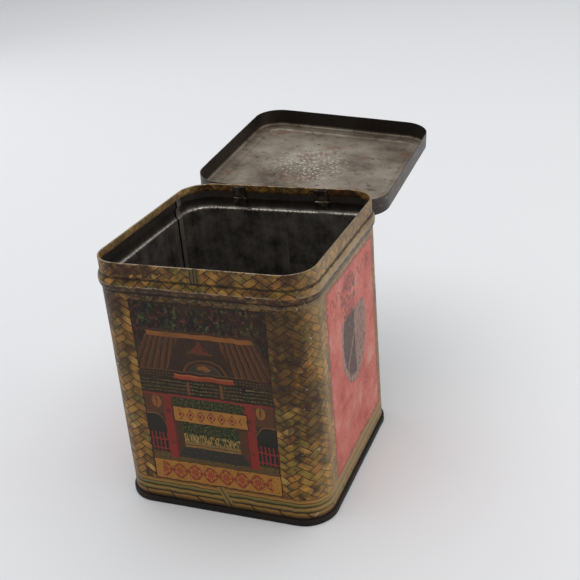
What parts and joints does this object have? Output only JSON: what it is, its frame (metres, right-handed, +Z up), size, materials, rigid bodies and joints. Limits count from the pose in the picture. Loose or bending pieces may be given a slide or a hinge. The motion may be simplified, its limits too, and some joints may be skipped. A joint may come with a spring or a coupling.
{
  "type": "lithographed tin",
  "caption": "Rounded-square printed tinplate canister with a hinged lid lying open, a rolled shoulder bead, an inward hem, a seamed base and wire-and-strap hinges.",
  "frame": {"origin": "centre of the rim that the tin stands on, in the plane of that rim", "axes": "+Z up, +X to the right along the front wall, +Y from the front wall to the hinge"},
  "size_m": [0.0844, 0.1723, 0.1081],
  "materials": {
    "lithographed_wall": "worn printed ink under old varnish",
    "dark_base": "dark, rusty, satin",
    "lid_tinplate": "dull aged tinplate",
    "hinge_steel": "dull, tarnished"
  },
  "bodies": {
    "can": {"body_wall": "lithographed_wall", "base_end": "dark_base", "hinge_strap_left": "hinge_steel", "hinge_strap_right": "hinge_steel"},
    "wire": {"hinge_wire": "hinge_steel"},
    "lid": {"lid": "lid_tinplate"}
  },
  "joints": [
    {"name": "hinge_sag", "type": "hinge", "parent": "can", "child": "wire", "pos_m": [0.02, 0.0432, 0.0944], "axis": [0, -1, 0], "range_deg": [0, 4.8]},
    {"name": "lid_swing", "type": "hinge", "parent": "wire", "child": "lid", "pos_m": [0.02, 0.0432, 0.0944], "axis": [0.9965, 0, -0.0837], "range_deg": [0, 174.4]}
  ],
  "couplings": [
    {"joint": "hinge_sag", "follows": "lid_swing", "ratio": 0.027523}
  ]
}
